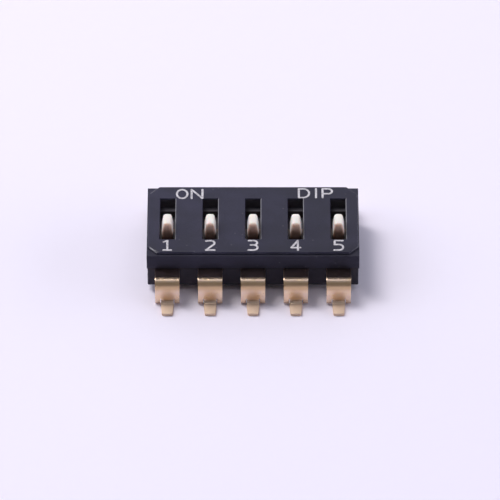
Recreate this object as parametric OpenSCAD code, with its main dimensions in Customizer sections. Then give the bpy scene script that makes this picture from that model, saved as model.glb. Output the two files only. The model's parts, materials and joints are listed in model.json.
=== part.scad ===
// Surface-mount DIP switch with one slide switch in each position.
// Origin: centre of the solder plane, +X along the row, +Y towards the ON side, +Z up.

/* [Row] */
// Number of switch positions
positions = 5; // [2:1:10]
// Spacing of the positions
pitch = 2.54; // [2.3:0.01:3.2]
// How much narrower the body is than its positions, so that switches can stand end to end
stack_gap = 0.1; // [0.05:0.01:0.3]

/* [Body] */
// Depth of the body, front to back
body_d = 6.0; // [5.4:0.1:9]
// Height of the base's underside above the board
standoff = 0.43; // [0.1:0.01:0.8]
// Height of the base, from its underside to the parting line
base_h = 1.32; // [1.1:0.01:2.4]
// Height of the cover above the parting line
cover_h = 1.18; // [1.05:0.01:2]
// How far the base's walls stand back from the cover's
base_inset = 0.04; // [0:0.01:0.1]
// Radius of the body's upright corners
corner_r = 0.08; // [0.02:0.01:0.15]

/* [Cover] */
// Thickness of the cover's top plate
plate_t = 0.72; // [0.4:0.01:0.8]
// Thickness of the cover's skirt
skirt_t = 0.3; // [0.2:0.01:0.36]
// Radius along the cover's top edges
edge_r = 0.12; // [0.03:0.01:0.15]
// Leg of the diagonal cut at each corner of the raised top
corner_cut = 0.72; // [0.3:0.01:1]
// Depth of the step at each cut corner
corner_drop = 0.17; // [0.12:0.01:0.4]
// How far the raised top stands back from the walls
step_in = 0.08; // [0.02:0.01:0.2]
// Width of the bevel round each slot
slot_bevel = 0.05; // [0.02:0.01:0.08]
// Diameter of the pegs that locate the cover
peg_d = 0.6; // [0.4:0.01:0.8]
// Length of the pegs
peg_l = 0.5; // [0.3:0.01:0.7]

/* [Actuators] */
// Travel from OFF to ON
travel = 1.5; // [1:0.05:1.8]
// Distance that the slots and pockets lie behind the body's centre
slot_shift = 0.12; // [-0.2:0.01:0.2]
// Width of the knob where it leaves the cover
knob_w = 0.68; // [0.5:0.01:0.9]
// Length of the knob where it leaves the cover
knob_l = 1.2; // [0.9:0.01:1.4]
// Width of the knob's flat top
knob_top_w = 0.48; // [0.4:0.01:0.7]
// Length of the knob's flat top
knob_top_l = 0.88; // [0.6:0.01:1.1]
// Height of the knob above the cover
knob_h = 0.7; // [0.3:0.01:1.2]
// Radius of the knob's upright edges
knob_r = 0.17; // [0.05:0.01:0.2]
// Radius of the edges round the knob's top
knob_top_r = 0.13; // [0.05:0.01:0.2]
// Gap between the knob and each long side of its slot
slot_side_gap = 0.11; // [0.04:0.01:0.15]
// Gap between the knob and the end of its slot at each end of the travel
slot_end_gap = 0.43; // [0.1:0.01:0.5]
// How far the actuator's shoe reaches under the cover on each side of the slot
shoe_ledge = 0.23; // [0.15:0.01:0.28]
// Length of the actuator's shoe
shoe_l = 1.3; // [1.25:0.01:1.5]
// Clearance of the shoe in its pocket, on each side
shoe_fit = 0.03; // [0.02:0.01:0.06]

/* [Moving contacts] */
// Thickness of the spring strip
spring_t = 0.06; // [0.04:0.01:0.08]
// Width of the spring strip
spring_w = 0.56; // [0.4:0.01:0.9]
// Width of the slit that parts the spring's two fingers
spring_slit = 0.12; // [0.06:0.01:0.2]
// Distance between the spring's two contact points
contact_span = 0.9; // [0.7:0.01:0.96]
// Radius of the spring's curled ends
curl_r = 0.09; // [0.07:0.01:0.12]

/* [Leads] */
// Thickness of the lead strip
lead_t = 0.2; // [0.12:0.01:0.25]
// Width of the lead's shoulders outside the body
lead_w = 1.45; // [1:0.01:1.9]
// Width of the lead's tail where its anchor hole is
tail_w = 1.0; // [0.8:0.01:1.3]
// Width of the lead's land, on which the spring slides
land_w = 0.6; // [0.58:0.01:0.9]
// How far the lead's front face stands out from the body's wall
lead_out = 1.25; // [0.8:0.01:2.5]
// Length of the foot in front of that face
foot_l = 1.0; // [0.6:0.01:2]
// Inner radius of the lead's upper bend
bend_r = 0.3; // [0.1:0.01:0.4]
// Inner radius of the bend at the foot
foot_r = 0.2; // [0.1:0.01:0.3]
// Height of the shoulders' lower edge above the board
shoulder_z = 0.1; // [0.05:0.01:0.3]
// Width of the foot where it leaves the shoulders
foot_w = 0.74; // [0.5:0.01:1]
// Width of the foot at its tip
foot_tip_w = 0.62; // [0.4:0.01:0.9]
// Width of the slits beside the foot
foot_slit = 0.05; // [0.03:0.01:0.1]
// Diameter of the lead's anchor hole
anchor_d = 0.5; // [0.3:0.01:0.6]
// Clear space between the ends of the front and the back lead
land_gap = 0.42; // [0.3:0.01:0.6]

/* [Hidden] */
$fn = 48;
eps = 0.01;                    // overlap that makes joined shapes one solid
mould_fit = 0.01;              // clearance of parts that are moulded or pressed together
peg_fit = 0.02;                // clearance of the cover's pegs
contact_gap = 0.01;            // space left under the spring's contact points
knob_facets = 24;              // facets round the knob's edges
support_hole_d = 0.5;          // holes left by the mould's pins under the leads
curl_turn = 50;                // turn of the spring's curled ends past their lowest point

body_w = positions * pitch - stack_gap;
z_parting = standoff + base_h;
z_top = z_parting + cover_h;
z_plate = z_top - plate_t;     // underside of the cover's plate, top of the base's deck
z_lead = z_parting - lead_t;   // underside of the leads' run

slot_w = knob_w + 2 * slot_side_gap;
slot_l = knob_l + travel + 2 * slot_end_gap;
shoe_w = slot_w + 2 * shoe_ledge;
pocket_w = shoe_w + 2 * shoe_fit;
pocket_l = shoe_l + travel + 2 * shoe_fit;
rest_y = slot_shift - travel / 2;             // centre of an actuator in OFF
deck_w = body_w - 2 * skirt_t - 2 * mould_fit;
deck_d = body_d - 2 * skirt_t - 2 * mould_fit;
base_w = body_w - 2 * base_inset;
base_d = body_d - 2 * base_inset;

shoe_z = z_parting + shoe_fit;                // underside of the shoe
shoe_h = z_plate - z_parting - 2 * shoe_fit;
recess_h = shoe_h * 0.64;                     // depth of the spring's recess in the shoe
recess_l = contact_span + 2 * curl_r + 0.02;
recess_w = spring_w + 0.06;

lead_reach = body_d / 2 + lead_out;           // from the body's centre to a lead's front face
foot_reach = lead_reach + foot_l;             // and to the tip of its foot
bend_out = bend_r + lead_t;                   // outer radii of a lead's bends
foot_out = foot_r + lead_t;
on_y = rest_y + travel;                       // centre of an actuator in ON
front_tail_end = on_y - land_gap / 2;         // the gap between the lands lies under it
back_tail_end = on_y + land_gap / 2;
pocket_end = abs(slot_shift) + pocket_l / 2;
margin_y = (deck_d / 2 + pocket_end) / 2;     // middle of the deck's margins: pegs and anchors
support_hole_y = (back_tail_end + pocket_end) / 2;

function position_x(i) = (i - (positions + 1) / 2) * pitch;
function gap_x(i) = position_x(i) + pitch / 2;

// ---- plane shapes ----

module rounded_rectangle(w, l, r) {
    square([w - 2 * r, l], center = true);
    square([w, l - 2 * r], center = true);
    for (sx = [-1, 1], sy = [-1, 1])
        translate([sx * (w / 2 - r), sy * (l / 2 - r)]) circle(r);
}

// A wall's cross-section with its two upper corners rounded
module rounded_top_section(w, h, r) {
    translate([-w / 2, 0]) square([w, h - r]);
    translate([r - w / 2, 0]) square([w - 2 * r, h]);
    for (s = [-1, 1]) translate([s * (w / 2 - r), h - r]) circle(r);
}

module cut_corner_rectangle(w, l, cut) {
    polygon([
        [w / 2, cut - l / 2], [w / 2, l / 2 - cut], [w / 2 - cut, l / 2], [cut - w / 2, l / 2],
        [-w / 2, l / 2 - cut], [-w / 2, cut - l / 2], [cut - w / 2, -l / 2], [w / 2 - cut, -l / 2]
    ]);
}

// ---- helpers in space ----

// Extrudes a section in X and Z along Y
module along_y(length) rotate([90, 0, 0]) linear_extrude(length, center = true) children();

// Extrudes a section in Y and Z along X
module along_x(length) rotate([90, 0, 90]) linear_extrude(length, center = true) children();

module block(w, d, z0, z1) translate([-w / 2, -d / 2, z0]) cube([w, d, z1 - z0]);

// A block with rounded top edges and rounded upright corners
module moulded_block(w, d, z0, z1) {
    translate([0, 0, z0]) intersection() {
        along_y(d) rounded_top_section(w, z1 - z0, edge_r);
        along_x(w) rounded_top_section(d, z1 - z0, edge_r);
        linear_extrude(z1 - z0) rounded_rectangle(w, d, corner_r);
    }
}

// A quarter or part turn of strip about an axis along X; angles run from +Y towards +Z
module strip_bend(r_in, t, w, from, turn) {
    rotate([90, 0, 90]) rotate_extrude(angle = turn, start = from)
        translate([r_in, -w / 2]) square([t, w]);
}

module at_positions() for (i = [1:positions]) translate([position_x(i), 0, 0]) children();

module at_gaps_between_positions()
    for (i = [1:positions - 1]) translate([gap_x(i), 0, 0]) children();

module both_rows() {
    children();
    mirror([0, 1, 0]) children();
}

// ---- cover ----

// Opening for one knob, with a bevel round its upper rim
module slot_cutter() {
    translate([0, slot_shift, 0]) {
        block(slot_w, slot_l, z_plate - eps, z_top + eps);
        translate([0, 0, z_top - slot_bevel]) intersection() {
            along_y(slot_l + 4 * slot_bevel) bevel_section(slot_w);
            along_x(slot_w + 4 * slot_bevel) bevel_section(slot_l);
        }
    }
}

module bevel_section(w) {
    h = slot_bevel + eps;
    polygon([[-w / 2, 0], [w / 2, 0], [w / 2 + h, h], [-w / 2 - h, h]]);
}

// One peg in each margin of the deck, between neighbouring positions
module pegs(d, l, z) {
    at_gaps_between_positions() for (s = [-1, 1])
        translate([0, s * margin_y, z - l]) cylinder(h = l + eps, d = d);
}

module cover() color("#2c2b31") {
    difference() {
        union() {
            moulded_block(body_w, body_d, z_parting, z_top - corner_drop);
            intersection() {
                moulded_block(body_w - 2 * step_in, body_d - 2 * step_in, z_parting, z_top);
                translate([0, 0, z_parting]) linear_extrude(cover_h + eps)
                    cut_corner_rectangle(body_w, body_d, corner_cut);
            }
        }
        block(body_w - 2 * skirt_t, body_d - 2 * skirt_t, z_parting - eps, z_plate);
        at_positions() slot_cutter();
    }
    pegs(peg_d, peg_l, z_plate);
}

// ---- base ----

module pocket() {
    translate([0, slot_shift, 0]) block(pocket_w, pocket_l, z_parting, z_plate + eps);
}

// Room for a lead's tail, with the stud that fills its anchor hole left standing
module lead_channel(tail_y) {
    difference() {
        translate([0, 0, z_lead - mould_fit]) linear_extrude(lead_t + mould_fit)
            lead_tail_plan(tail_y, mould_fit);
        translate([0, -margin_y, z_lead - base_h / 2])
            cylinder(h = base_h, d = anchor_d - 2 * mould_fit);
    }
}

module support_hole() {
    translate([0, support_hole_y, standoff - eps])
        cylinder(h = base_h - lead_t + 2 * eps, d = support_hole_d);
}

module base() color("#232226") {
    difference() {
        union() {
            linear_extrude_from(standoff, z_parting) rounded_rectangle(base_w, base_d, corner_r);
            block(deck_w, deck_d, z_parting - eps, z_plate);
        }
        at_positions() {
            pocket();
            lead_channel(front_tail_end);
            mirror([0, 1, 0]) lead_channel(-back_tail_end);
            both_rows() support_hole();
        }
        pegs(peg_d + 2 * peg_fit, peg_l + 2 * peg_fit, z_plate);
    }
}

module linear_extrude_from(z0, z1) translate([0, 0, z0]) linear_extrude(z1 - z0) children();

// ---- actuator ----

module knob() {
    x = (knob_top_w - knob_top_r) / 2;         // centres of the top's rounded corners
    y = (knob_top_l - knob_top_r) / 2;
    hull() {
        linear_extrude(eps) rounded_rectangle(knob_w, knob_l, knob_r, $fn = knob_facets);
        for (sx = [-1, 1], sy = [-1, 1])
            translate([sx * x, sy * y, knob_h - knob_top_r]) sphere(knob_top_r, $fn = knob_facets);
    }
}

module actuator(i) color("#f3ede3") translate([position_x(i), rest_y, 0]) {
    difference() {
        block(shoe_w, shoe_l, shoe_z, shoe_z + shoe_h);
        block(recess_w, recess_l, shoe_z - eps, shoe_z + recess_h);
    }
    linear_extrude_from(shoe_z + shoe_h - eps, z_top) rounded_rectangle(knob_w, knob_l, knob_r);
    translate([0, 0, z_top - eps]) knob();
}

// ---- moving contact ----

// A bowed strip in two fingers: its crown bears on the shoe, its curled ends on the leads
module contact_spring(i) color("#d9b15c") translate([position_x(i), rest_y, 0]) {
    half = contact_span / 2;
    z_crown = shoe_z + recess_h;
    z_curl = z_parting + contact_gap + curl_r;                // centre of a curled end
    curl_mid = curl_r - spring_t / 2;
    rise = z_crown - spring_t / 2 - z_curl;
    // radius of the bow's middle line, which meets both curls without a kink
    bow_mid = (half * half + rise * rise - curl_mid * curl_mid) / (2 * (rise + curl_mid));
    lean = asin(half / (bow_mid + curl_mid));
    difference() {
        union() {
            translate([0, 0, z_crown - spring_t / 2 - bow_mid])
                strip_bend(bow_mid - spring_t / 2, spring_t, spring_w, 90 - lean, 2 * lean);
            both_rows() translate([0, half, z_curl])
                strip_bend(curl_r - spring_t, spring_t, spring_w, 270 - lean, lean + curl_turn);
        }
        for (s = [-1, 1])
            translate([0, s * half, 0]) block(spring_slit, half + 2 * curl_r, z_parting, z_crown);
    }
}

// ---- leads ----

// Outline of a front lead's tail, from the body's wall to its end at tail_y
module lead_tail_plan(tail_y, fit) {
    neck_y = -margin_y - anchor_d;             // the tail narrows on both sides of the hole
    land_y = -margin_y + anchor_d;
    translate([-lead_w / 2 - fit, -body_d / 2 - eps])
        square([lead_w + 2 * fit, body_d / 2 + neck_y + fit + eps]);
    translate([-tail_w / 2 - fit, neck_y - eps])
        square([tail_w + 2 * fit, land_y - neck_y + fit + eps]);
    translate([-land_w / 2 - fit, land_y - eps])
        square([land_w + 2 * fit, tail_y - land_y + fit + eps]);
}

module foot_plan() {
    root_y = -lead_reach - foot_r;
    tip_y = -foot_reach;
    r = lead_t / 2;
    polygon([
        [foot_w / 2, root_y + eps], [foot_tip_w / 2, tip_y + r], [foot_tip_w / 2 - r, tip_y],
        [r - foot_tip_w / 2, tip_y], [-foot_tip_w / 2, tip_y + r], [-foot_w / 2, root_y + eps]
    ]);
    for (s = [-1, 1]) translate([s * (foot_tip_w / 2 - r), tip_y + r]) circle(r);
}

// A lead of the front row; tail_y is where its tail ends inside the body
module lead(tail_y) {
    bend_y = -lead_reach + bend_out;
    face_y = -lead_reach + lead_t / 2;
    // tail inside the body, with its anchor hole
    difference() {
        linear_extrude_from(z_lead, z_parting) lead_tail_plan(tail_y, 0);
        translate([0, -margin_y, z_lead - eps]) cylinder(h = lead_t + 2 * eps, d = anchor_d);
    }
    // run outside the wall and the bend down
    translate([-lead_w / 2, bend_y - eps, z_lead]) cube([lead_w, -body_d / 2 - bend_y + 2 * eps, lead_t]);
    translate([0, bend_y, z_parting - bend_out]) strip_bend(bend_r, lead_t, lead_w, 90, 90);
    // shoulders, open round the foot's root
    difference() {
        translate([0, face_y, 0]) block(lead_w, lead_t, shoulder_z, z_parting - bend_out + eps);
        translate([0, face_y, 0]) block(foot_w + 2 * foot_slit, lead_t + 2 * eps, 0, foot_out + foot_slit);
    }
    // foot
    translate([0, face_y, 0]) block(foot_w, lead_t, foot_out - eps, foot_out + foot_slit + eps);
    translate([0, -lead_reach - foot_r, foot_out]) strip_bend(foot_r, lead_t, foot_w, 270, 90);
    linear_extrude(lead_t) foot_plan();
}

module lead_front(i) color("#c8a26c") translate([position_x(i), 0, 0]) lead(front_tail_end);

module lead_back(i) color("#c8a26c") translate([position_x(i), 0, 0])
    mirror([0, 1, 0]) lead(-back_tail_end);

base();
cover();
for (i = [1:positions]) {
    actuator(i);
    contact_spring(i);
    lead_front(i);
    lead_back(i);
}
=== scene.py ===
import bpy
import bmesh
import json
import math
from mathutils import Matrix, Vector


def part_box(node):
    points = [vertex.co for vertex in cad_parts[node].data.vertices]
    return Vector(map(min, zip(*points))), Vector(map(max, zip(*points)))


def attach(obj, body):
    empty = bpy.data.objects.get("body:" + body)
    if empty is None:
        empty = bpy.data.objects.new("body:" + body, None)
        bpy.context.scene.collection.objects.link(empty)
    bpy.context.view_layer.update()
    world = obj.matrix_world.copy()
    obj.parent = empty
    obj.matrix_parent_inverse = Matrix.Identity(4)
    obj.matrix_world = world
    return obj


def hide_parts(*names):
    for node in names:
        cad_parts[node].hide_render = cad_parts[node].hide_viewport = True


# Surface-mount DIP switch with five slide switches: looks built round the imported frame.
# Sizes are written in millimetres and turned into metres by mm.

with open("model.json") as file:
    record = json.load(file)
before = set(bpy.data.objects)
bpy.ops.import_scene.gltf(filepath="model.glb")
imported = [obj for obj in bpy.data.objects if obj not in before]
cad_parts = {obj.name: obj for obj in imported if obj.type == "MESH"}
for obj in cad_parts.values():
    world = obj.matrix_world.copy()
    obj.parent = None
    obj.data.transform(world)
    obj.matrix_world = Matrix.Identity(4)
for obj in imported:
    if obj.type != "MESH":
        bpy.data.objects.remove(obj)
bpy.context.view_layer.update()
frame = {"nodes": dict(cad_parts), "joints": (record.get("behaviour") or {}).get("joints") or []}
mm = 0.001
hair = 0.003 * mm        # how near two places count as the same
weld = 0.001 * mm        # corners nearer than this are merged
skirtDrop = 1.18 * mm    # from the cover's top down to the parting line
travel = frame["joints"][0]["range_m"][1]
positions = [name.split("_")[1] for name in sorted(frame["nodes"]) if name.startswith("actuator_")]
print("frame loaded:", len(frame["nodes"]), "nodes,", len(positions), "positions")


# places that come from the frame

coverLow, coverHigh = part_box("cover")
halfWidth = (coverHigh.x - coverLow.x) / 2
halfDepth = (coverHigh.y - coverLow.y) / 2
topZ = coverHigh.z
partingZ = topZ - skirtDrop
restLow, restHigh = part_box("actuator_1")
centreX = {}                               # of each position
for number in positions:
    low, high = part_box("actuator_" + number)
    centreX[number] = (low.x + high.x) / 2


# working in edit mode

def deselectAll():
    for other in bpy.context.selected_objects:
        other.select_set(False)


def makeActive(piece):
    deselectAll()
    piece.select_set(True)
    bpy.context.view_layer.objects.active = piece


def startBlock(name, low, high):           # a cube between two corners, left in edit mode
    deselectAll()
    bpy.ops.mesh.primitive_cube_add(size=1, location=(Vector(low) + Vector(high)) / 2)
    return startShaping(name, Vector(high) - Vector(low))


def startSheet(name, low, high):           # a flat rectangle between two corners, left in edit mode
    deselectAll()
    bpy.ops.mesh.primitive_plane_add(size=1, location=(Vector(low) + Vector(high)) / 2)
    return startShaping(name, Vector(high) - Vector(low))


def startShaping(name, size):
    piece = bpy.context.active_object
    piece.scale = size
    piece.name = name
    piece.data.name = name
    bpy.ops.object.transform_apply(location=True, rotation=True, scale=True)
    bpy.ops.object.mode_set(mode="EDIT")
    return piece


def reopen(piece):                         # back to edit mode, with all selected
    makeActive(piece)
    bpy.ops.object.mode_set(mode="EDIT")
    pickAll()


def endShaping(piece):
    pickAll()
    bpy.ops.mesh.remove_doubles(threshold=weld)
    bpy.ops.mesh.normals_make_consistent(inside=False)
    bpy.ops.object.mode_set(mode="OBJECT")
    return piece


def middle(part):
    return sum((corner.co for corner in part.verts), Vector()) / len(part.verts)


def near(a, b):
    return abs(a - b) < hair


def pickAll():
    bpy.ops.mesh.select_all(action="SELECT")


def pick(test, what="FACE"):               # selects the faces or edges whose middle passes the test
    bpy.ops.mesh.select_mode(type=what)
    bpy.ops.mesh.select_all(action="DESELECT")
    mesh = bpy.context.edit_object.data
    cage = bmesh.from_edit_mesh(mesh)
    for part in cage.faces if what == "FACE" else cage.edges:
        if test(part, middle(part)):
            part.select_set(True)
    cage.select_flush_mode()
    bmesh.update_edit_mesh(mesh)


def faces(part, axis):                     # whether a face looks along an axis
    return part.normal.dot(Vector(axis)) > 0.99


def upright(part):                         # whether an edge stands along Z
    ends = part.verts[1].co - part.verts[0].co
    return abs(ends.z) > 0.999 * ends.length


def level(part):                           # whether an edge lies flat
    return near(part.verts[0].co.z, part.verts[1].co.z)


def sharp(part):                           # whether an edge has faces that turn away from each other
    return len(part.link_faces) == 2 and part.calc_face_angle() > 0.5


def cut(point, normal):                    # cuts what is selected along a plane
    bpy.ops.mesh.bisect(plane_co=point, plane_no=normal, threshold=weld / 2)


def cutAcross(test, axis, distance):       # two cuts, at equal distances on both sides of the middle
    for side in (-1, 1):
        pick(test)
        cut(side * distance * Vector(axis), axis)


def pull(x, y, z):                         # extrudes what is selected
    bpy.ops.mesh.extrude_region_move(TRANSFORM_OT_translate={"value": (x, y, z)})


def stretch(x, y, z, centre):              # scales what is selected about a point
    bpy.ops.transform.resize(value=(x, y, z), center_override=centre)


def rounded(radius, segments):             # rounds the selected edges
    bpy.ops.mesh.bevel(offset=radius, segments=segments, affect="EDGES", clamp_overlap=True)


# working on whole pieces

def softenEdges(piece, radius, segments):  # rounds all edges that turn by more than 50 degrees
    makeActive(piece)
    bevel = piece.modifiers.new("softEdges", "BEVEL")
    bevel.width = radius
    bevel.segments = segments
    bevel.limit_method = "ANGLE"
    bevel.angle_limit = math.radians(50)
    bevel.harden_normals = False
    bpy.ops.object.modifier_apply(modifier=bevel.name)


def smooth(piece, angle):                  # soft shading on round stretches, large flat faces kept flat
    makeActive(piece)
    bpy.ops.object.shade_smooth_by_angle(angle=math.radians(angle))
    weighted = piece.modifiers.new("flatFaces", "WEIGHTED_NORMAL")
    weighted.weight = 100
    weighted.keep_sharp = True
    bpy.ops.object.modifier_apply(modifier=weighted.name)


def combine(piece, tool, operation):       # adds the tool's shape to the piece, or cuts it out
    makeActive(piece)
    boolean = piece.modifiers.new("combine", "BOOLEAN")
    boolean.operation = operation
    boolean.object = tool
    boolean.solver = "EXACT"
    bpy.ops.object.modifier_apply(modifier=boolean.name)
    bpy.data.objects.remove(tool)


def pin(x, y, bottom, top, radius):        # an upright round pin
    deselectAll()
    bpy.ops.mesh.primitive_cylinder_add(vertices=32, radius=radius, depth=top - bottom,
                                        location=(x, y, (bottom + top) / 2))
    bpy.ops.object.transform_apply(location=True, rotation=True, scale=True)
    return bpy.context.active_object


def copyTo(piece, name, x):                # a copy with its own mesh and its place in it
    makeActive(piece)
    bpy.ops.object.duplicate()
    copy = bpy.context.active_object
    copy.name = name
    copy.data.name = name
    copy.location.x = x
    bpy.ops.object.transform_apply(location=True, rotation=True, scale=True)
    return copy


def join(parts, name):
    makeActive(parts[0])
    for part in parts:
        part.select_set(True)
    bpy.ops.object.join()
    parts[0].name = name
    parts[0].data.name = name
    return parts[0]


def addObject(name, data):
    made = bpy.data.objects.new(name, data)
    bpy.context.scene.collection.objects.link(made)
    return made


def dress(piece, material):
    piece.data.materials.clear()
    piece.data.materials.append(material)


# shader maths

class Wire:                                # a value on its way through a material's nodes
    def __init__(self, tree, socket=None):
        self.tree = tree
        self.socket = socket

    def node(self, kind, settings=None, inputs=None, output=0):
        made = self.tree.nodes.new("ShaderNode" + kind)
        for name, value in (settings or {}).items():
            setattr(made, name, value)
        for name, value in (inputs or {}).items():
            if isinstance(value, Wire):
                self.tree.links.new(value.socket, made.inputs[name])
            else:
                made.inputs[name].default_value = value
        return Wire(self.tree, made.outputs[output])

    def math(self, operation, *values):
        return self.node("Math", {"operation": operation}, dict(enumerate(values)))

    def __add__(self, other):
        return self.math("ADD", self, other)

    def __sub__(self, other):
        return self.math("SUBTRACT", self, other)

    def __rsub__(self, other):
        return self.math("SUBTRACT", other, self)

    def __mul__(self, other):
        return self.math("MULTIPLY", self, other)

    def __abs__(self):
        return self.math("ABSOLUTE", self)

    __radd__ = __add__
    __rmul__ = __mul__

    def larger(self, other):
        return self.math("MAXIMUM", self, other)

    def along(self, axis):                 # how far a place or a direction reaches along X, Y or Z
        return self.node("SeparateXYZ", None, {"Vector": self}, output=axis)

    def clip(self, low, high):             # 0 at low, 1 at high, and smooth between
        return self.node("MapRange", {"interpolation_type": "SMOOTHSTEP"},
                         {"Value": self, "From Min": low, "From Max": high})

    def band(self, rise, fall):            # 1 in the middle of a band, which rises and falls as given
        return self.clip(*rise) * (1 - self.clip(*fall))

    def mixed(self, first, second):        # colours or links, mixed by this value
        colours = {0: self, 6: solid(first), 7: solid(second)}
        return self.node("Mix", {"data_type": "RGBA"}, colours, output=2)


def solid(tint):                           # a colour with its alpha, and a link as it is
    return tint if isinstance(tint, Wire) else (*tint, 1)


class Finish:                              # a Principled material and the values that feed it
    def __init__(self, name, **fixed):
        self.material = bpy.data.materials.new(name)
        self.material.use_nodes = True
        self.tree = self.material.node_tree
        self.shader = self.tree.nodes["Principled BSDF"]
        self.wire = Wire(self.tree)
        for socket, value in fixed.items():
            self.shader.inputs[socket.replace("_", " ")].default_value = value
        place = self.wire.node("TexCoord", output="Object")
        self.place = self.wire.node("Mapping", None, {"Vector": place, "Scale": (1 / mm, 1 / mm, 1 / mm)})

    def facing(self):                      # the direction that the surface looks in
        return self.wire.node("NewGeometry", output="Normal")

    def noise(self, size, detail=2.0, stretched=(1, 1, 1), seed=0.0):
        # clouds whose lumps are about size millimetres, drawn out along an axis by stretched
        scale = [1 / (size * s) for s in stretched]
        place = self.wire.node("Mapping", None, {"Vector": self.place, "Scale": scale,
                                                 "Location": (seed, seed, seed)})
        return self.wire.node("TexNoise", None, {"Vector": place, "Scale": 1.0, "Detail": detail})

    def specks(self, size, share, seed=0.0):
        # 1 in small round grains that cover about that share of the cells
        place = self.wire.node("Mapping", None, {"Vector": self.place, "Location": (seed, seed, seed)})
        grain = {"Vector": place, "Scale": 1 / size}
        cell = self.wire.node("TexVoronoi", None, grain, output="Color")
        red = self.wire.node("SeparateColor", None, {"Color": cell}, output="Red")
        apart = self.wire.node("TexVoronoi", None, grain, output="Distance")
        return red.clip(1 - share, 1.001 - share) * (1 - apart.clip(0.12, 0.3))

    def bump(self, height, distance):      # height from 0 to 1 is worth distance
        normal = self.wire.node("Bump", None, {"Height": height, "Distance": distance, "Strength": 1.0})
        self.feed("Normal", normal)

    def feed(self, socket, value):
        self.tree.links.new(value.socket, self.shader.inputs[socket])


# materials: in their settings a pair of numbers is where a mask goes from 0 to 1, in millimetres or,
# for the direction that a surface looks in, as a share of 1

coverPlastic = dict(
    dark=(0.018, 0.017, 0.036),
    light=(0.036, 0.034, 0.066),
    roughness=0.76,
    slotDust=0.5,                          # how much painted light brightens the slots inside
)
basePlastic = dict(
    dark=(0.032, 0.029, 0.045),
    light=(0.042, 0.038, 0.060),
    roughness=0.74,
    slotDust=0.35,
)
# dust specks, and painted light and shade, on the black plastics
dustAndPaintedLight = dict(
    shadeSpan=8,                           # painted shade: the plastic darkens from left to right
    shadeAcross=0.35,
    shadeFront=0.3,                        # and towards the top's front edge
    frontStrip=(0.1, 1.4),                 # from that edge
    # painted light inside the slots: its colour, and where it lies
    slotTone=(0.15, 0.14, 0.15),
    slotEnds=(0.2, 0.5),                   # from the ends of the body
    slotSides=(0.5, 0.8),                  # from its long sides
    slotMouth=(0.05, 0.21),                # below the top
    slotBottom=(1.43, 1.73),
    # painted shade on the base under the skirt, at the parting line
    seamTone=(0.012, 0.011, 0.014),
    seamRise=(-0.15, -0.05),               # above the parting line
    seamFall=(0.01, 0.05),
    edgeTone=(0.22, 0.215, 0.24),          # of the painted highlight on edges that face left
    edgeRise=(0.15, 0.35),                 # how far they look up
    edgeFall=(0.95, 0.995),
    edgeLeft=(-0.5, -0.1),
    edgeInboard=(0.14, 0.20),              # from the left end, where the edges get no painted highlight
    dustTone=(0.16, 0.15, 0.17),
)


def mouldedBlack(name, plastic):
    finish = Finish(name, IOR=1.45)
    clouds = finish.noise(1.6, 3)
    grain = finish.noise(0.05, 2, seed=3)
    dust = finish.specks(0.22, 0.05, seed=7)
    facing = finish.facing()
    upward = facing.along("Z")
    x = finish.place.along("X")
    y = finish.place.along("Y")
    height = finish.place.along("Z")
    belowTop = topZ / mm - height

    tone = (clouds * 0.6 + grain * 0.4).clip(0.3, 0.7).mixed(plastic["dark"], plastic["light"])
    atFront = (1 - (y + halfDepth / mm).clip(*dustAndPaintedLight["frontStrip"])) * upward.clip(0.8, 1)
    across = x.clip(-dustAndPaintedLight["shadeSpan"], dustAndPaintedLight["shadeSpan"])
    # painted shade: darker to the right and near the top's front edge
    shade = across * dustAndPaintedLight["shadeAcross"] + atFront * dustAndPaintedLight["shadeFront"]
    tone = shade.mixed(tone, [0.5 * c for c in plastic["dark"]])

    # painted light: the slots are made paler inside, as if lit
    fromEnds = halfWidth / mm - abs(x)
    fromSides = halfDepth / mm - abs(y)
    inSlots = fromEnds.clip(*dustAndPaintedLight["slotEnds"]) * fromSides.clip(*dustAndPaintedLight["slotSides"])
    inSlots = inSlots * belowTop.band(dustAndPaintedLight["slotMouth"], dustAndPaintedLight["slotBottom"])
    tone = (inSlots * plastic["slotDust"]).mixed(tone, dustAndPaintedLight["slotTone"])
    # painted shade under the skirt's edge, round the parting line, kept out of the slots
    seam = (height - partingZ / mm).band(dustAndPaintedLight["seamRise"], dustAndPaintedLight["seamFall"]) * (1 - inSlots)
    tone = (seam * 0.7).mixed(tone, dustAndPaintedLight["seamTone"])

    # painted highlight on the edges that face left; all these edges are also made less rough
    edge = upward.band(dustAndPaintedLight["edgeRise"], dustAndPaintedLight["edgeFall"]) * (x + halfWidth / mm).clip(*dustAndPaintedLight["edgeInboard"])
    tone = (edge * (1 - facing.along("X").clip(*dustAndPaintedLight["edgeLeft"]))).mixed(tone, dustAndPaintedLight["edgeTone"])
    finish.feed("Base Color", (dust * 0.25).mixed(tone, dustAndPaintedLight["dustTone"]))
    uneven = clouds * 0.16 + grain * 0.12              # 0.14 on average
    finish.feed("Roughness", uneven - edge * 0.5 + (plastic["roughness"] - 0.14))
    finish.bump(grain * 0.8 + finish.noise(0.16, 2, seed=5) * 0.5 + dust * 0.3, 0.006 * mm)
    return finish.material


ivory = dict(
    dark=(0.86, 0.80, 0.73),
    light=(0.90, 0.86, 0.80),
    frontTone=(0.80, 0.50, 0.36),          # painted shade on what faces the front
    grimeTone=(0.12, 0.05, 0.03),
    grimeAll=(-0.48, 0.37),                # heights from the cover's top over which the painted shade in the slot fades out
    grimeFront=(-0.03, 0.72),              # and over which the painted shade on the front fades out
)


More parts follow.
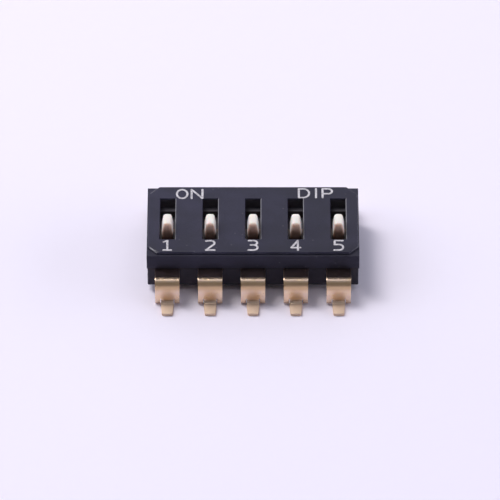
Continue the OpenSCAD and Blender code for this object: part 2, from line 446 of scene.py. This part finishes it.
def ivoryPlastic():
    finish = Finish("ivoryPlastic", IOR=1.5, Subsurface_Weight=0.3, Subsurface_Scale=0.1 * mm,
                    Subsurface_Radius=(1.0, 0.4, 0.25))
    clouds = finish.noise(0.5, 2, seed=2)
    grain = finish.noise(0.04, 2, seed=4)
    aboveTop = finish.place.along("Z") - topZ / mm
    front = 1 - finish.facing().along("Y").clip(-1.0, 0.0)
    tone = clouds.clip(0.3, 0.75).mixed(ivory["dark"], ivory["light"])
    # painted shade: the faces that look to the front are browner
    tone = (front * 0.9).mixed(tone, ivory["frontTone"])
    # painted shade: the actuator darkens below the cover's top, and low on its front
    inSlot = 1 - aboveTop.clip(*ivory["grimeAll"])
    paintedShade = inSlot.larger(front * (1 - aboveTop.clip(*ivory["grimeFront"])) * 0.8)
    finish.feed("Base Color", (paintedShade * 0.95).mixed(tone, ivory["grimeTone"]))
    finish.feed("Roughness", clouds * 0.12 + grain * 0.1 + 0.24)
    finish.bump(grain, 0.003 * mm)
    return finish.material


plating = dict(
    yellow=(0.83, 0.62, 0.42),
    rosy=(0.78, 0.61, 0.49),
    blush=(0.80, 0.57, 0.46),
    glint=(0.95, 0.76, 0.56),
    # a darker, warmer colour over the upper bend
    bendTone=(0.66, 0.455, 0.26),
    # painted highlight on the foot's bend
    rootTone=(0.98, 0.76, 0.56),
    footTone=(0.60, 0.44, 0.33),
    creaseTone=(0.36, 0.24, 0.15),         # painted shade inside the lower bend
    sideTone=(0.62, 0.40, 0.24),           # of the cut sides of the strip
    slitTone=(0.20, 0.13, 0.08),           # painted shade on the cut sides low down, in the slits beside the foot
    footTop=(0.2, 0.222),                  # heights over the board
    rootTop=(0.28, 0.33),                  # where the foot bends out
    creaseRise=(0.29, 0.33),
    creaseFall=(0.41, 0.47),
    slitRise=(0.2, 0.24),
    slitFall=(0.5, 0.6),
    bendRise=(0.98, 1.32),
    bendFall=(1.6, 1.7),
)


def goldPlate():
    finish = Finish("goldPlate")
    stains = finish.noise(0.34, 3, seed=1)
    blush = finish.noise(0.2, 2, seed=12)
    drawn = finish.noise(0.02, 2, stretched=(1, 12, 12), seed=6)      # rolling lines, along the strip
    grain = finish.noise(0.05, 2, seed=9)
    facing = finish.facing()
    upward = facing.along("Z")
    height = finish.place.along("Z")
    foot = 1 - height.clip(*plating["footTop"])
    # painted highlight on the foot and its bend, which are also made less metallic
    root = 1 - height.clip(*plating["rootTop"])
    bend = height.band(plating["bendRise"], plating["bendFall"])
    # painted shade inside the lower bend, on what looks a little up
    crease = height.band(plating["creaseRise"], plating["creaseFall"]) * upward.clip(0.02, 0.12)
    side = abs(facing.along("X")).clip(0.6, 0.9)
    # painted shade on the sides low down, in the slits; they are also made rougher
    slit = side * height.band(plating["slitRise"], plating["slitFall"])
    run = upward.clip(0.93, 0.99) * (1 - foot)                        # what lies flat, but for the foot

    plate = stains.clip(0.35, 0.68).mixed(plating["yellow"], plating["rosy"])
    for mask, tone in ((blush.clip(0.45, 0.7) * 0.6, "blush"), (grain.clip(0.4, 0.65) * 0.3, "glint"),
                       (bend * 0.9, "bendTone"), (root * 0.6, "rootTone"), (foot * 0.7, "footTone"),
                       (crease * 0.75, "creaseTone"), (side, "sideTone"), (slit * 0.8, "slitTone")):
        plate = mask.mixed(plate, plating[tone])
    finish.feed("Base Color", plate)
    finish.feed("Metallic", 1 - root * 0.65 - bend * 0.2)             # dull with flux, and worn at the bend
    dull = foot * 0.26 + slit * 0.3 + bend * 0.12 - run * 0.14        # the runs stay bright
    finish.feed("Roughness", drawn * 0.06 + stains * 0.08 + dull + 0.22)
    finish.bump(drawn * 0.6 + grain * 0.5 + stains * 0.6, 0.003 * mm)
    return finish.material


ink = dict(
    dark=(0.40, 0.38, 0.41),
    light=(0.66, 0.64, 0.67),
)


def legendInk():
    finish = Finish("legendInk", IOR=1.45)
    wear = finish.noise(0.12, 3, seed=8)
    finish.feed("Base Color", wear.clip(0.32, 0.62).mixed(ink["dark"], ink["light"]))
    finish.feed("Roughness", wear * 0.2 + 0.45)
    finish.bump(wear, 0.002 * mm)
    return finish.material


coverBlack = mouldedBlack("coverBlack", coverPlastic)
baseBlack = mouldedBlack("baseBlack", basePlastic)
knobIvory = ivoryPlastic()
leadGold = goldPlate()
printInk = legendInk()
print("materials made")


# actuators

knob = dict(
    width=0.68 * mm,         # of the neck, where it leaves the cover
    length=1.2 * mm,
    topWidth=0.48 * mm,      # of the flat top, before its edges are rounded
    topLength=0.97 * mm,
    shoeHeight=0.4 * mm,
    recessDepth=0.256 * mm,  # of the spring's recess in the shoe
    recessWidth=0.62 * mm,
    recessLength=1.1 * mm,
    edgeRadius=0.165 * mm,
    shoeRadius=0.012 * mm,
)


def insetTo(width, length, block):         # a smaller rectangle inside the selected one
    border = (block.y - length) / 2
    bpy.ops.mesh.inset(thickness=border)
    stretch(width / (block.x - 2 * border), 1, 1, (0, (restLow.y + restHigh.y) / 2, 0))


def modelActuator(name):                   # at the middle of the row
    shoe = restHigh - restLow
    shoeTop = restLow.z + knob["shoeHeight"]
    piece = startBlock(name, (-shoe.x / 2, restLow.y, restLow.z), (shoe.x / 2, restHigh.y, shoeTop))

    # the neck and the knob grow out of the shoe's top
    pick(lambda face, at: faces(face, (0, 0, 1)))
    insetTo(knob["width"], knob["length"], shoe)
    pull(0, 0, topZ - shoeTop)
    pull(0, 0, restHigh.z - topZ)
    stretch(knob["topWidth"] / knob["width"], knob["topLength"] / knob["length"], 1,
            (0, (restLow.y + restHigh.y) / 2, restHigh.z))

    # the spring's recess below
    pick(lambda face, at: near(at.z, restLow.z))
    insetTo(knob["recessWidth"], knob["recessLength"], shoe)
    pull(0, 0, knob["recessDepth"])

    def inKnob(at):
        return abs(at.x) < knob["width"] / 2 + hair and at.z > shoeTop + hair
    pick(lambda edge, at: inKnob(at) and (near(at.z, restHigh.z) or not level(edge)), "EDGE")
    rounded(knob["edgeRadius"], 5)
    return endShaping(piece)


actuator = modelActuator("actuatorModel")
softenEdges(actuator, knob["shoeRadius"], 1)
smooth(actuator, 40)
for number in positions:
    piece = copyTo(actuator, "slider_knob_" + number, centreX[number])
    dress(piece, knobIvory)
    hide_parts("actuator_" + number)
    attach(piece, "slider_" + number)
bpy.data.objects.remove(actuator)
print("actuators made")


# cover

cover = dict(
    plate=0.72 * mm,         # thickness of the top and of the skirt
    skirt=0.3 * mm,
    cornerCut=0.72 * mm,     # leg of the diagonal at each corner
    cornerDrop=0.17 * mm,    # and how far the top is stepped down there
    atEnds=0.05 * mm,        # from the walls to the raised top
    atFront=0.12 * mm,
    atBack=0.02 * mm,
    edgeRadius=0.09 * mm,
    cornerRadius=0.12 * mm,
    ledgeRadius=0.03 * mm,
    lipRadius=0.02 * mm,     # at the parting line
    rimBevel=0.065 * mm,
    sideGap=0.11 * mm,       # between a knob and the long side of its slot
    endGap=0.43 * mm,
    pegRadius=0.3 * mm,
    pegLength=0.5 * mm,
    pegRoot=0.05 * mm,       # how deep the pegs start in the plate
    pegY=2.12 * mm,
)
ledgeZ = topZ - cover["cornerDrop"]
plateZ = topZ - cover["plate"]             # its underside
slotY = (restLow.y + restHigh.y + travel) / 2
slotHalfW = knob["width"] / 2 + cover["sideGap"]
slotHalfL = (knob["length"] + travel) / 2 + cover["endGap"]
raisedX = halfWidth - cover["atEnds"]
raisedFront = cover["atFront"] - halfDepth
raisedBack = halfDepth - cover["atBack"]


def inSlot(at, margin=0):
    inColumn = any(abs(at.x - centreX[number]) < slotHalfW + margin for number in positions)
    return inColumn and abs(at.y - slotY) < slotHalfL + margin


def onLedge(at):                           # outside the raised top
    beyondDiagonal = abs(at.x) + abs(at.y) > halfWidth + halfDepth - cover["cornerCut"] + hair
    return abs(at.x) > raisedX + hair or not raisedFront - hair < at.y < raisedBack + hair or beyondDiagonal


def insideSkirt(at):
    return abs(at.x) < halfWidth - cover["skirt"] and abs(at.y) < halfDepth - cover["skirt"]


def punchSlots():                          # in the sheet, which then gets the plate's thickness
    for side in (-1, 1):
        for number in positions:
            pickAll()
            cut((centreX[number] + side * slotHalfW, 0, 0), (1, 0, 0))
        pickAll()
        cut((0, slotY + side * slotHalfL, 0), (0, 1, 0))
    pick(lambda face, at: inSlot(at))
    bpy.ops.mesh.delete(type="FACE")
    pickAll()
    pull(0, 0, plateZ - ledgeZ)
    pickAll()
    bpy.ops.mesh.normals_make_consistent(inside=False)


def growSkirt():                           # down from a ring of the underside
    cutAcross(lambda face, at: near(at.z, plateZ), (1, 0, 0), halfWidth - cover["skirt"])
    cutAcross(lambda face, at: near(at.z, plateZ), (0, 1, 0), halfDepth - cover["skirt"])
    pick(lambda face, at: near(at.z, plateZ) and not insideSkirt(at))
    pull(0, 0, partingZ - plateZ)


def raiseTop():                            # but not at the cut corners
    def onTop(face, at):
        return near(at.z, ledgeZ) and faces(face, (0, 0, 1))
    for sx in (-1, 1):
        for sy in (-1, 1):
            pick(onTop)
            cut((sx * (halfWidth - cover["cornerCut"]), sy * halfDepth, 0), (sx, sy, 0))
    cutAcross(onTop, (1, 0, 0), raisedX)
    for y in (raisedFront, raisedBack):
        pick(onTop)
        cut((0, y, 0), (0, 1, 0))
    pick(lambda face, at: onTop(face, at) and not onLedge(at))
    pull(0, 0, cover["cornerDrop"])


def roundCover():                          # the outer edges, then the rims of the slots and the lip
    def atCorner(at):
        return near(abs(at.x), halfWidth) and near(abs(at.y), halfDepth)
    pick(lambda edge, at: upright(edge) and atCorner(at), "EDGE")
    rounded(cover["cornerRadius"], 4)
    pick(lambda edge, at: near(at.z, ledgeZ) and onLedge(at) and sharp(edge), "EDGE")
    rounded(cover["ledgeRadius"], 2)
    pick(lambda edge, at: near(at.z, topZ) and sharp(edge) and not inSlot(at, hair), "EDGE")
    rounded(cover["edgeRadius"], 4)
    pick(lambda edge, at: near(at.z, topZ) and inSlot(at, hair) and not upright(edge), "EDGE")
    rounded(cover["rimBevel"], 2)
    pick(lambda edge, at: near(at.z, partingZ) and not insideSkirt(at), "EDGE")
    rounded(cover["lipRadius"], 2)


def addPegs(piece):                        # one on each side between neighbouring positions
    halfPitch = (centreX["2"] - centreX["1"]) / 2
    for number in positions[:-1]:
        for side in (-1, 1):
            peg = pin(centreX[number] + halfPitch, side * cover["pegY"], plateZ - cover["pegLength"],
                      plateZ + cover["pegRoot"], cover["pegRadius"])
            combine(piece, peg, "UNION")


capShell = startSheet("cap_shell", (-halfWidth, -halfDepth, ledgeZ), (halfWidth, halfDepth, ledgeZ))
punchSlots()
growSkirt()
raiseTop()
roundCover()
endShaping(capShell)
addPegs(capShell)
smooth(capShell, 35)
dress(capShell, coverBlack)
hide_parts("cover")
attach(capShell, "housing")
print("cover made:", len(capShell.data.polygons), "faces")


# leads

lead = dict(
    thickness=0.2 * mm,
    landWidth=0.6 * mm,      # of the tail, where the spring slides on it
    tailWidth=1.0 * mm,      # and round its anchor hole
    landY=1.62 * mm,         # where the tail widens, from the body's centre
    neckY=2.62 * mm,         # and where it widens again
    widening=0.1 * mm,
    reach=4.25 * mm,         # of the shoulders' front face, from the body's centre
    bendRadius=0.3 * mm,     # inside, at the top
    footRadius=0.2 * mm,     # inside, at the foot
    shoulderZ=0.1 * mm,      # lower edge of the shoulders
    slit=0.05 * mm,          # beside the foot's root
    footWidth=0.74 * mm,
    tipWidth=0.62 * mm,
    tipRadius=0.1 * mm,
    anchorRadius=0.25 * mm,  # of the hole in the tail
    anchorY=2.12 * mm,
    edgeRadius=0.016 * mm,
)
bendOut = lead["bendRadius"] + lead["thickness"]
footOut = lead["footRadius"] + lead["thickness"]
slitZ = footOut + lead["slit"]             # upper end of the slits


def drawRun(width, runZ):                  # from the land out to the upper bend, and down to the slits
    pick(lambda face, at: faces(face, (0, -1, 0)))
    for narrow, wide, fromY, toY in ((lead["landWidth"], lead["tailWidth"], lead["landY"], lead["neckY"]),
                                     (lead["tailWidth"], width, lead["neckY"], lead["reach"] - bendOut)):
        pull(0, -lead["widening"], 0)
        stretch(wide / narrow, 1, 1, (0, 0, runZ))
        pull(0, fromY + lead["widening"] - toY, 0)
    bpy.ops.mesh.spin(steps=10, angle=-math.pi / 2, axis=(1, 0, 0),
                      center=(0, bendOut - lead["reach"], runZ - bendOut))
    pull(0, 0, slitZ - (runZ - bendOut))


def splitFoot(tipY):                       # shoulders on both sides, and the foot between them
    halfFoot = lead["footWidth"] / 2
    for x in (halfFoot, halfFoot + lead["slit"]):
        cutAcross(lambda face, at: near(at.z, slitZ) and faces(face, (0, 0, -1)), (1, 0, 0), x)
    pick(lambda face, at: near(at.z, slitZ) and abs(at.x) > halfFoot + lead["slit"])
    pull(0, 0, lead["shoulderZ"] - slitZ)
    pick(lambda face, at: near(at.z, slitZ) and abs(at.x) < halfFoot)
    pull(0, 0, footOut - slitZ)
    bpy.ops.mesh.spin(steps=8, angle=math.pi / 2, axis=(1, 0, 0),
                      center=(0, -lead["reach"] - lead["footRadius"], footOut))
    pull(0, tipY + lead["reach"] + lead["footRadius"], 0)
    stretch(lead["tipWidth"] / lead["footWidth"], 1, 1, (0, tipY, 0))
    pick(lambda edge, at: near(at.y, tipY) and upright(edge), "EDGE")
    rounded(lead["tipRadius"], 4)


def modelLead(name, low, high):            # a front lead at the middle of the row
    halfLand = lead["landWidth"] / 2
    width = high.x - low.x
    under = high.z - lead["thickness"]
    piece = startBlock(name, (-halfLand, -lead["landY"], under), (halfLand, high.y, high.z))
    drawRun(width, high.z)
    splitFoot(low.y)
    endShaping(piece)
    past = lead["thickness"]               # how far the hole's cutter reaches past the tail
    hole = pin(0, -lead["anchorY"], under - past, high.z + past, lead["anchorRadius"])
    combine(piece, hole, "DIFFERENCE")
    softenEdges(piece, lead["edgeRadius"], 2)
    reopen(piece)
    for side in (-1, 1):                   # keeps the soft edge's shading off the flat face
        pickAll()
        cut((side * (width / 2 - 2 * lead["edgeRadius"]), 0, 0), (1, 0, 0))
    return endShaping(piece)


def mirrorFrontToBack(piece):
    reopen(piece)
    stretch(1, -1, 1, (0, 0, 0))
    endShaping(piece)


def placeLeads(row):
    low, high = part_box("lead_" + row + "_1")
    if row == "back":                      # modelled as a front one, then mirrored
        low.y, high.y = -high.y, -low.y
    model = modelLead(row + "LeadModel", low, high)
    if row == "back":
        mirrorFrontToBack(model)
    smooth(model, 35)
    for number in positions:
        piece = copyTo(model, row + "_terminal_" + number, centreX[number])
        dress(piece, leadGold)
        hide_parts("lead_" + row + "_" + number)
        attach(piece, "housing")
    print(row, "leads made:", len(model.data.polygons), "faces each")
    bpy.data.objects.remove(model)


placeLeads("front")
placeLeads("back")


# legend

legend = dict(
    stroke=0.125 * mm,
    corner=math.radians(35),               # a sharper turn than this is a corner
    thickness=0.012 * mm,                  # of the ink, half of it under the surface
    digitWidth=0.66 * mm,                  # over the strokes
    digitHeight=0.95 * mm,
    digitY=-2.24 * mm,                     # middle of the digits
    wordHeight=0.9 * mm,
    words=(                                # each sign's left and right ends and its foot
        ("O", -4.61 * mm, -3.86 * mm, 1.86 * mm),
        ("N", -3.73 * mm, -2.96 * mm, 1.86 * mm),
        ("D", 2.68 * mm, 3.42 * mm, 1.93 * mm),
        ("I", 3.67 * mm, 3.87 * mm, 1.93 * mm),
        ("P", 4.10 * mm, 4.79 * mm, 1.93 * mm),
    ),
)


def arc(x, y, rx, ry, start, end, steps=12):
    turns = [math.radians(start + (end - start) * i / steps) for i in range(steps + 1)]
    return [(x + rx * math.cos(a), y + ry * math.sin(a)) for a in turns]


# strokes of each sign, in a square from 0 to 1
signs = {
    "O": [arc(0.5, 0.5, 0.5, 0.5, 90, 450, 32)],
    "N": [[(0, 0), (0, 1), (1, 0), (1, 1)]],
    "D": [[(0, 0), (0, 1)] + arc(0.45, 0.5, 0.55, 0.5, 90, -90, 16) + [(0, 0)]],
    "I": [[(0.5, 0), (0.5, 1)]],
    "P": [[(0, 0), (0, 1)] + arc(0.6, 0.72, 0.4, 0.28, 90, -90) + [(0, 0.44)]],
    "1": [[(0.1, 0.86), (0.5, 1), (0.5, 0)], [(0.08, 0), (0.92, 0)]],
    "2": [[(0.05, 0.96)] + arc(0.55, 0.74, 0.43, 0.26, 90, -35) + [(0.03, 0), (1, 0)]],
    "3": [[(0.02, 1)] + arc(0.58, 0.77, 0.38, 0.23, 90, -90) + [(0.25, 0.54)],
          [(0.5, 0.54)] + arc(0.56, 0.27, 0.44, 0.27, 90, -90) + [(0, 0)]],
    "4": [[(0.72, 0), (0.72, 1), (0, 0.26), (1, 0.26)]],
    "5": [[(0.94, 1), (0.08, 1), (0.05, 0.58)] + arc(0.53, 0.3, 0.45, 0.3, 90, -90) + [(0, 0)]],
}


def smoothRuns(points):                    # the stretches of a stroke between its sharp corners
    runs = [[points[0]]]
    for before, here, after in zip(points, points[1:], points[2:]):
        runs[-1].append(here)
        turn = (Vector(here) - Vector(before)).angle(Vector(after) - Vector(here))
        if turn > legend["corner"]:
            runs.append([here])
    runs[-1].append(points[-1])
    return runs


def roundEnds(points):                     # adds points past each end, each with a smaller radius
    caps = [(share, math.sqrt(1 - share * share)) for share in (0.35, 0.7, 0.95)]

    def cap(end, before):
        out = (Vector(end) - Vector(before)).normalized() * legend["stroke"] / 2
        return [(end[0] + out.x * share, end[1] + out.y * share, size) for share, size in caps]
    head = cap(points[0], points[1])
    tail = cap(points[-1], points[-2])
    return head[::-1] + points + tail


def drawStroke(points):                    # a round line through the points, as a mesh
    curve = bpy.data.curves.new("stroke", "CURVE")
    curve.dimensions = "3D"
    curve.bevel_depth = legend["stroke"] / 2
    curve.bevel_resolution = 2
    curve.use_fill_caps = True
    spline = curve.splines.new("POLY")
    closed = (Vector(points[0]) - Vector(points[-1])).length < hair
    points = points[:-1] if closed else roundEnds(points)
    spline.points.add(len(points) - 1)
    spline.use_cyclic_u = closed
    for point, place in zip(spline.points, points):
        point.co = (place[0], place[1], 0, 1)
        point.radius = place[2] if len(place) > 2 else 1
    makeActive(addObject("stroke", curve))
    bpy.ops.object.convert(target="MESH")
    return bpy.context.active_object


def writeSign(sign, left, right, bottom, height):
    inset = legend["stroke"] / 2
    spanX = right - left - 2 * inset
    spanY = height - 2 * inset
    lines = []
    for stroke in signs[sign]:
        places = [(left + inset + x * spanX, bottom + inset + y * spanY) for x, y in stroke]
        lines += [drawStroke(run) for run in smoothRuns(places)]
    return lines


def writeLegend():
    halfDigit = legend["digitWidth"] / 2
    digitFoot = legend["digitY"] - legend["digitHeight"] / 2
    lines = []
    for number in positions:
        x = centreX[number]
        lines += writeSign(number, x - halfDigit, x + halfDigit, digitFoot, legend["digitHeight"])
    for sign, left, right, bottom in legend["words"]:
        lines += writeSign(sign, left, right, bottom, legend["wordHeight"])
    piece = join(lines, "legend_print")
    reopen(piece)
    stretch(1, 1, legend["thickness"] / legend["stroke"], (0, 0, 0))
    bpy.ops.transform.translate(value=(0, 0, topZ))
    endShaping(piece)
    smooth(piece, 60)
    return piece


legendPrint = writeLegend()
dress(legendPrint, printInk)
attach(legendPrint, "housing")
print("legend made:", len(legendPrint.data.polygons), "faces")


# the base and the contact springs are the CAD's own

dress(frame["nodes"]["base"], baseBlack)
for number in positions:
    dress(frame["nodes"]["contact_spring_" + number], leadGold)


# floor, light and camera

studio = dict(
    paper=(0.925, 0.88, 1.0),              # of the sheet under and round the object
    floorSize=3.0,
    warm=(1.0, 0.975, 0.96),               # colours of the light
    cool=(0.89, 0.90, 1.0),
    skyLevel=0.12,                         # brightness of the dim surroundings
    panels={                               # place, width, height, brightness (1 looks white) and colour
        "key": ((-0.19, 0.125, 0.425), 0.155, 0.23, 11.3, "warm"),
        "keyRight": ((0.22, 0.12, 0.42), 0.13, 0.26, 1.9, "cool"),
        "left": ((-0.55, 0.05, 0.35), 0.40, 0.36, 2.5, "cool"),
        "strip": ((0.0, -0.055, 0.5), 0.24, 0.12, 0.78, "cool"),
        "backdrop": ((-0.22, 0.72, 0.42), 1.5, 0.80, 1.1, "cool"),
        "side": ((0.7, 0.05, 0.18), 0.9, 0.34, 3.0, "cool"),
    },
    flagPlace=(0, -0.62, 0.50),            # dark screen on the camera's side
    flagSize=(4.0, 1.20),
    flagTone=0.12,
)
cameraSet = dict(
    aim=(-0.178 * mm, -2.65 * mm, 2.93 * mm),
    elevation=42.5,
    distance=0.35,
    lens=425.7,
    sensorWidth=36,
)


def turnedTo(direction):                   # the turn that points an object's Z along a direction
    return Vector(direction).to_track_quat("Z", "Y").to_euler()


def makeWorld():
    world = bpy.data.worlds.new("surroundings")
    world.use_nodes = True
    bpy.context.scene.world = world
    background = world.node_tree.nodes["Background"]
    background.inputs["Color"].default_value = solid(studio["cool"])
    background.inputs["Strength"].default_value = studio["skyLevel"]


def sheetMaterial(name, tint, shade, fibre, **fixed):  # the tint varies down to shade times itself
    finish = Finish(name, **fixed)
    finish.feed("Base Color", finish.noise(fibre).mixed([shade * c for c in tint], tint))
    return finish.material


def makeFloor():
    deselectAll()
    bpy.ops.mesh.primitive_plane_add(size=studio["floorSize"])
    floor = bpy.context.active_object
    floor.name = "floor"
    dress(floor, sheetMaterial("paper", studio["paper"], 0.99, 0.6, Roughness=0.8, Specular_IOR_Level=0.0))


def makeFlag():                            # the camera doesn't see it
    deselectAll()
    bpy.ops.mesh.primitive_plane_add(size=1, location=studio["flagPlace"])
    flag = bpy.context.active_object
    flag.name = "flag"
    flag.scale = (*studio["flagSize"], 1)
    flag.rotation_euler = turnedTo(studio["flagPlace"])
    flag.visible_camera = False
    dress(flag, sheetMaterial("flagCloth", [studio["flagTone"]] * 3, 0.8, 3, Roughness=0.9))


def makePanel(name, place, width, height, brightness, tint):       # a lamp that faces the object
    data = bpy.data.lights.new(name, "AREA")
    data.shape = "RECTANGLE"
    data.size = width
    data.size_y = height
    data.color = studio[tint]
    data.energy = brightness * math.pi * width * height
    lamp = addObject(name, data)
    lamp.location = place
    lamp.rotation_euler = turnedTo(place)


def makeCamera():
    tilt = math.radians(cameraSet["elevation"])
    back = Vector((0, -math.cos(tilt), math.sin(tilt)))
    data = bpy.data.cameras.new("camera")
    data.lens = cameraSet["lens"]
    data.sensor_width = cameraSet["sensorWidth"]
    data.clip_start = 0.01
    data.clip_end = 10
    camera = addObject("camera", data)
    camera.location = Vector(cameraSet["aim"]) + back * cameraSet["distance"]
    camera.rotation_euler = turnedTo(back)
    bpy.context.scene.camera = camera


makeWorld()
makeFloor()
makeFlag()
for panelName, panel in studio["panels"].items():
    makePanel(panelName, *panel)
makeCamera()
bpy.context.scene.view_settings.view_transform = "Standard"
print("studio made")
